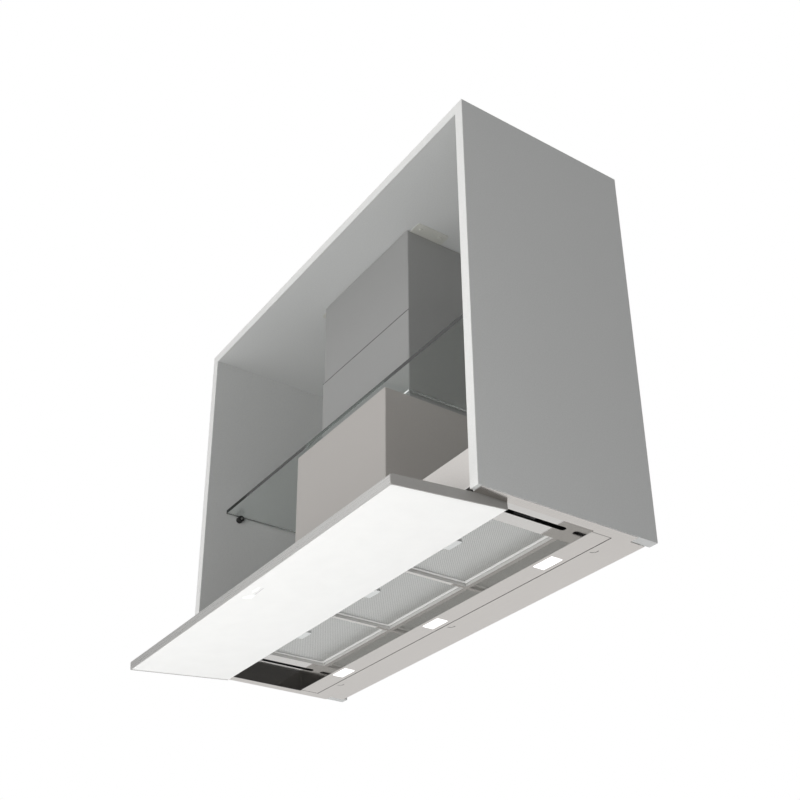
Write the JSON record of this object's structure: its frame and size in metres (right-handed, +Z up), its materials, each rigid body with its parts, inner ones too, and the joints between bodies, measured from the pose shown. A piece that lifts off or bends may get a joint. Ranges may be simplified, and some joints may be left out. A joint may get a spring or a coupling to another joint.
{
  "type": "built-in range hood",
  "caption": "Range hood built into an open wall unit with a glass shelf, a pull-out glass visor, hinged grease filters, lamps, a blower and a telescopic duct cover.",
  "frame": {"origin": "middle of the hanging rail's rear face, on the wall", "axes": "+X to the right seen from the front, +Y back into the wall, +Z up"},
  "size_m": [0.9, 0.4719, 0.7499],
  "materials": {
    "board_grey": "grey laminated board, matt",
    "edging_white": "white edging",
    "board_back": "grey laminated hardboard",
    "shelf_glass": "clear float glass with ground edges",
    "peg_steel": "nickel-plated pin",
    "peg_rubber": "black rubber ring",
    "underside_steel": "brushed stainless sheet",
    "lamp_lens": "frosted lamp cover",
    "lamp_module": "white moulding",
    "body_paint": "warm grey powder coat",
    "cover_paint": "grey powder coat",
    "zinc_sheet": "galvanised sheet",
    "black_moulding": "black moulding",
    "grey_moulding": "grey moulding",
    "steel_bar": "bright drawn steel",
    "motor_paint": "dark motor lacquer",
    "visor_paint": "grey powder coat",
    "visor_glass": "white back-printed toughened glass",
    "visor_alu": "satin anodised extrusion",
    "cap_plastic": "dark grey moulding",
    "circuit_board": "green laminate",
    "filter_frame": "satin anodised frame",
    "filter_mesh": "expanded foil mesh"
  },
  "bodies": {
    "carcass": {"side_panel_left": "board_grey", "side_panel_right": "board_grey", "top_panel": "board_grey", "back_panel": "board_back", "hanging_rail": "board_grey", "lower_rail": "board_grey", "edge_bands": "edging_white", "glass_shelf": "shelf_glass", "shelf_pegs": "peg_steel", "peg_rings": "peg_rubber", "base_frame": "underside_steel", "led_panel": "underside_steel", "led_lenses": "lamp_lens", "led_modules": "lamp_module", "recess_ceiling": "underside_steel", "tray_shell": "body_paint", "housing_wrap": "body_paint", "housing_back": "zinc_sheet", "housing_top": "zinc_sheet", "outlet_spigot": "black_moulding", "damper_rods": "steel_bar", "duct_cover_lower": "cover_paint", "duct_brackets": "zinc_sheet", "bracket_screws": "steel_bar", "scroll_left": "grey_moulding", "scroll_right": "grey_moulding", "motor": "motor_paint", "motor_bracket": "zinc_sheet", "motor_screws": "steel_bar", "terminal_box": "grey_moulding", "terminal_lid": "grey_moulding", "cable_gland": "black_moulding", "visor_rails": "zinc_sheet"},
    "carriage": {"visor_sliders": "black_moulding", "hinge_pins": "steel_bar"},
    "visor": {"visor_arms": "steel_bar", "visor_pan": "visor_paint", "visor_glass": "visor_glass", "visor_front_profile": "visor_alu", "visor_end_caps": "cap_plastic", "touch_board": "circuit_board"},
    "fan": {"impeller": "black_moulding", "motor_shaft": "steel_bar"},
    "flap_front": {"damper_flap_front": "grey_moulding"},
    "flap_rear": {"damper_flap_rear": "grey_moulding"},
    "upper_cover": {"duct_cover_upper": "cover_paint"},
    "filter_left": {"filter_left_frame": "filter_frame", "filter_left_mesh": "filter_mesh"},
    "latch_left": {"filter_left_latch": "grey_moulding"},
    "filter_middle": {"filter_middle_frame": "filter_frame", "filter_middle_mesh": "filter_mesh"},
    "latch_middle": {"filter_middle_latch": "grey_moulding"},
    "filter_right": {"filter_right_frame": "filter_frame", "filter_right_mesh": "filter_mesh"},
    "latch_right": {"filter_right_latch": "grey_moulding"}
  },
  "joints": [
    {"name": "visor_slide", "type": "slide", "parent": "carcass", "child": "carriage", "axis": [0, -1, 0], "range_m": [-0.15, 0]},
    {"name": "visor_tilt", "type": "hinge", "parent": "carriage", "child": "visor", "pos_m": [0, -0.19625, -0.619], "axis": [1, 0, 0], "range_deg": [-5.17, 0]},
    {"name": "impeller_spin", "type": "hinge", "parent": "carcass", "child": "fan", "pos_m": [0.005, -0.192, -0.453], "axis": [1, 0, 0], "continuous": true},
    {"name": "damper_front", "type": "hinge", "parent": "carcass", "child": "flap_front", "pos_m": [0.005, -0.1393, -0.282], "axis": [-1, 0, 0], "range_deg": [0, 80]},
    {"name": "damper_rear", "type": "hinge", "parent": "carcass", "child": "flap_rear", "pos_m": [0.005, -0.1313, -0.282], "axis": [1, 0, 0], "range_deg": [0, 80]},
    {"name": "upper_cover_slide", "type": "slide", "parent": "carcass", "child": "upper_cover", "axis": [0, 0, -1], "range_m": [0, 0.13]},
    {"name": "filter_left_drop", "type": "hinge", "parent": "carcass", "child": "filter_left", "pos_m": [-0.224, -0.3174, -0.6258], "axis": [-1, 0, 0], "range_deg": [0, 17]},
    {"name": "filter_left_latch", "type": "slide", "parent": "filter_left", "child": "latch_left", "axis": [0, -1, 0], "range_m": [0, 0.005], "stiffness_N_per_m": 300},
    {"name": "filter_middle_drop", "type": "hinge", "parent": "carcass", "child": "filter_middle", "pos_m": [0.005, -0.3174, -0.6258], "axis": [-1, 0, 0], "range_deg": [0, 17]},
    {"name": "filter_middle_latch", "type": "slide", "parent": "filter_middle", "child": "latch_middle", "axis": [0, -1, 0], "range_m": [0, 0.005], "stiffness_N_per_m": 300},
    {"name": "filter_right_drop", "type": "hinge", "parent": "carcass", "child": "filter_right", "pos_m": [0.234, -0.3174, -0.6258], "axis": [-1, 0, 0], "range_deg": [0, 17]},
    {"name": "filter_right_latch", "type": "slide", "parent": "filter_right", "child": "latch_right", "axis": [0, -1, 0], "range_m": [0, 0.005], "stiffness_N_per_m": 300}
  ],
  "couplings": [
    {"joint": "visor_tilt", "follows": "visor_slide", "rad_per_m": 0.6015}
  ]
}
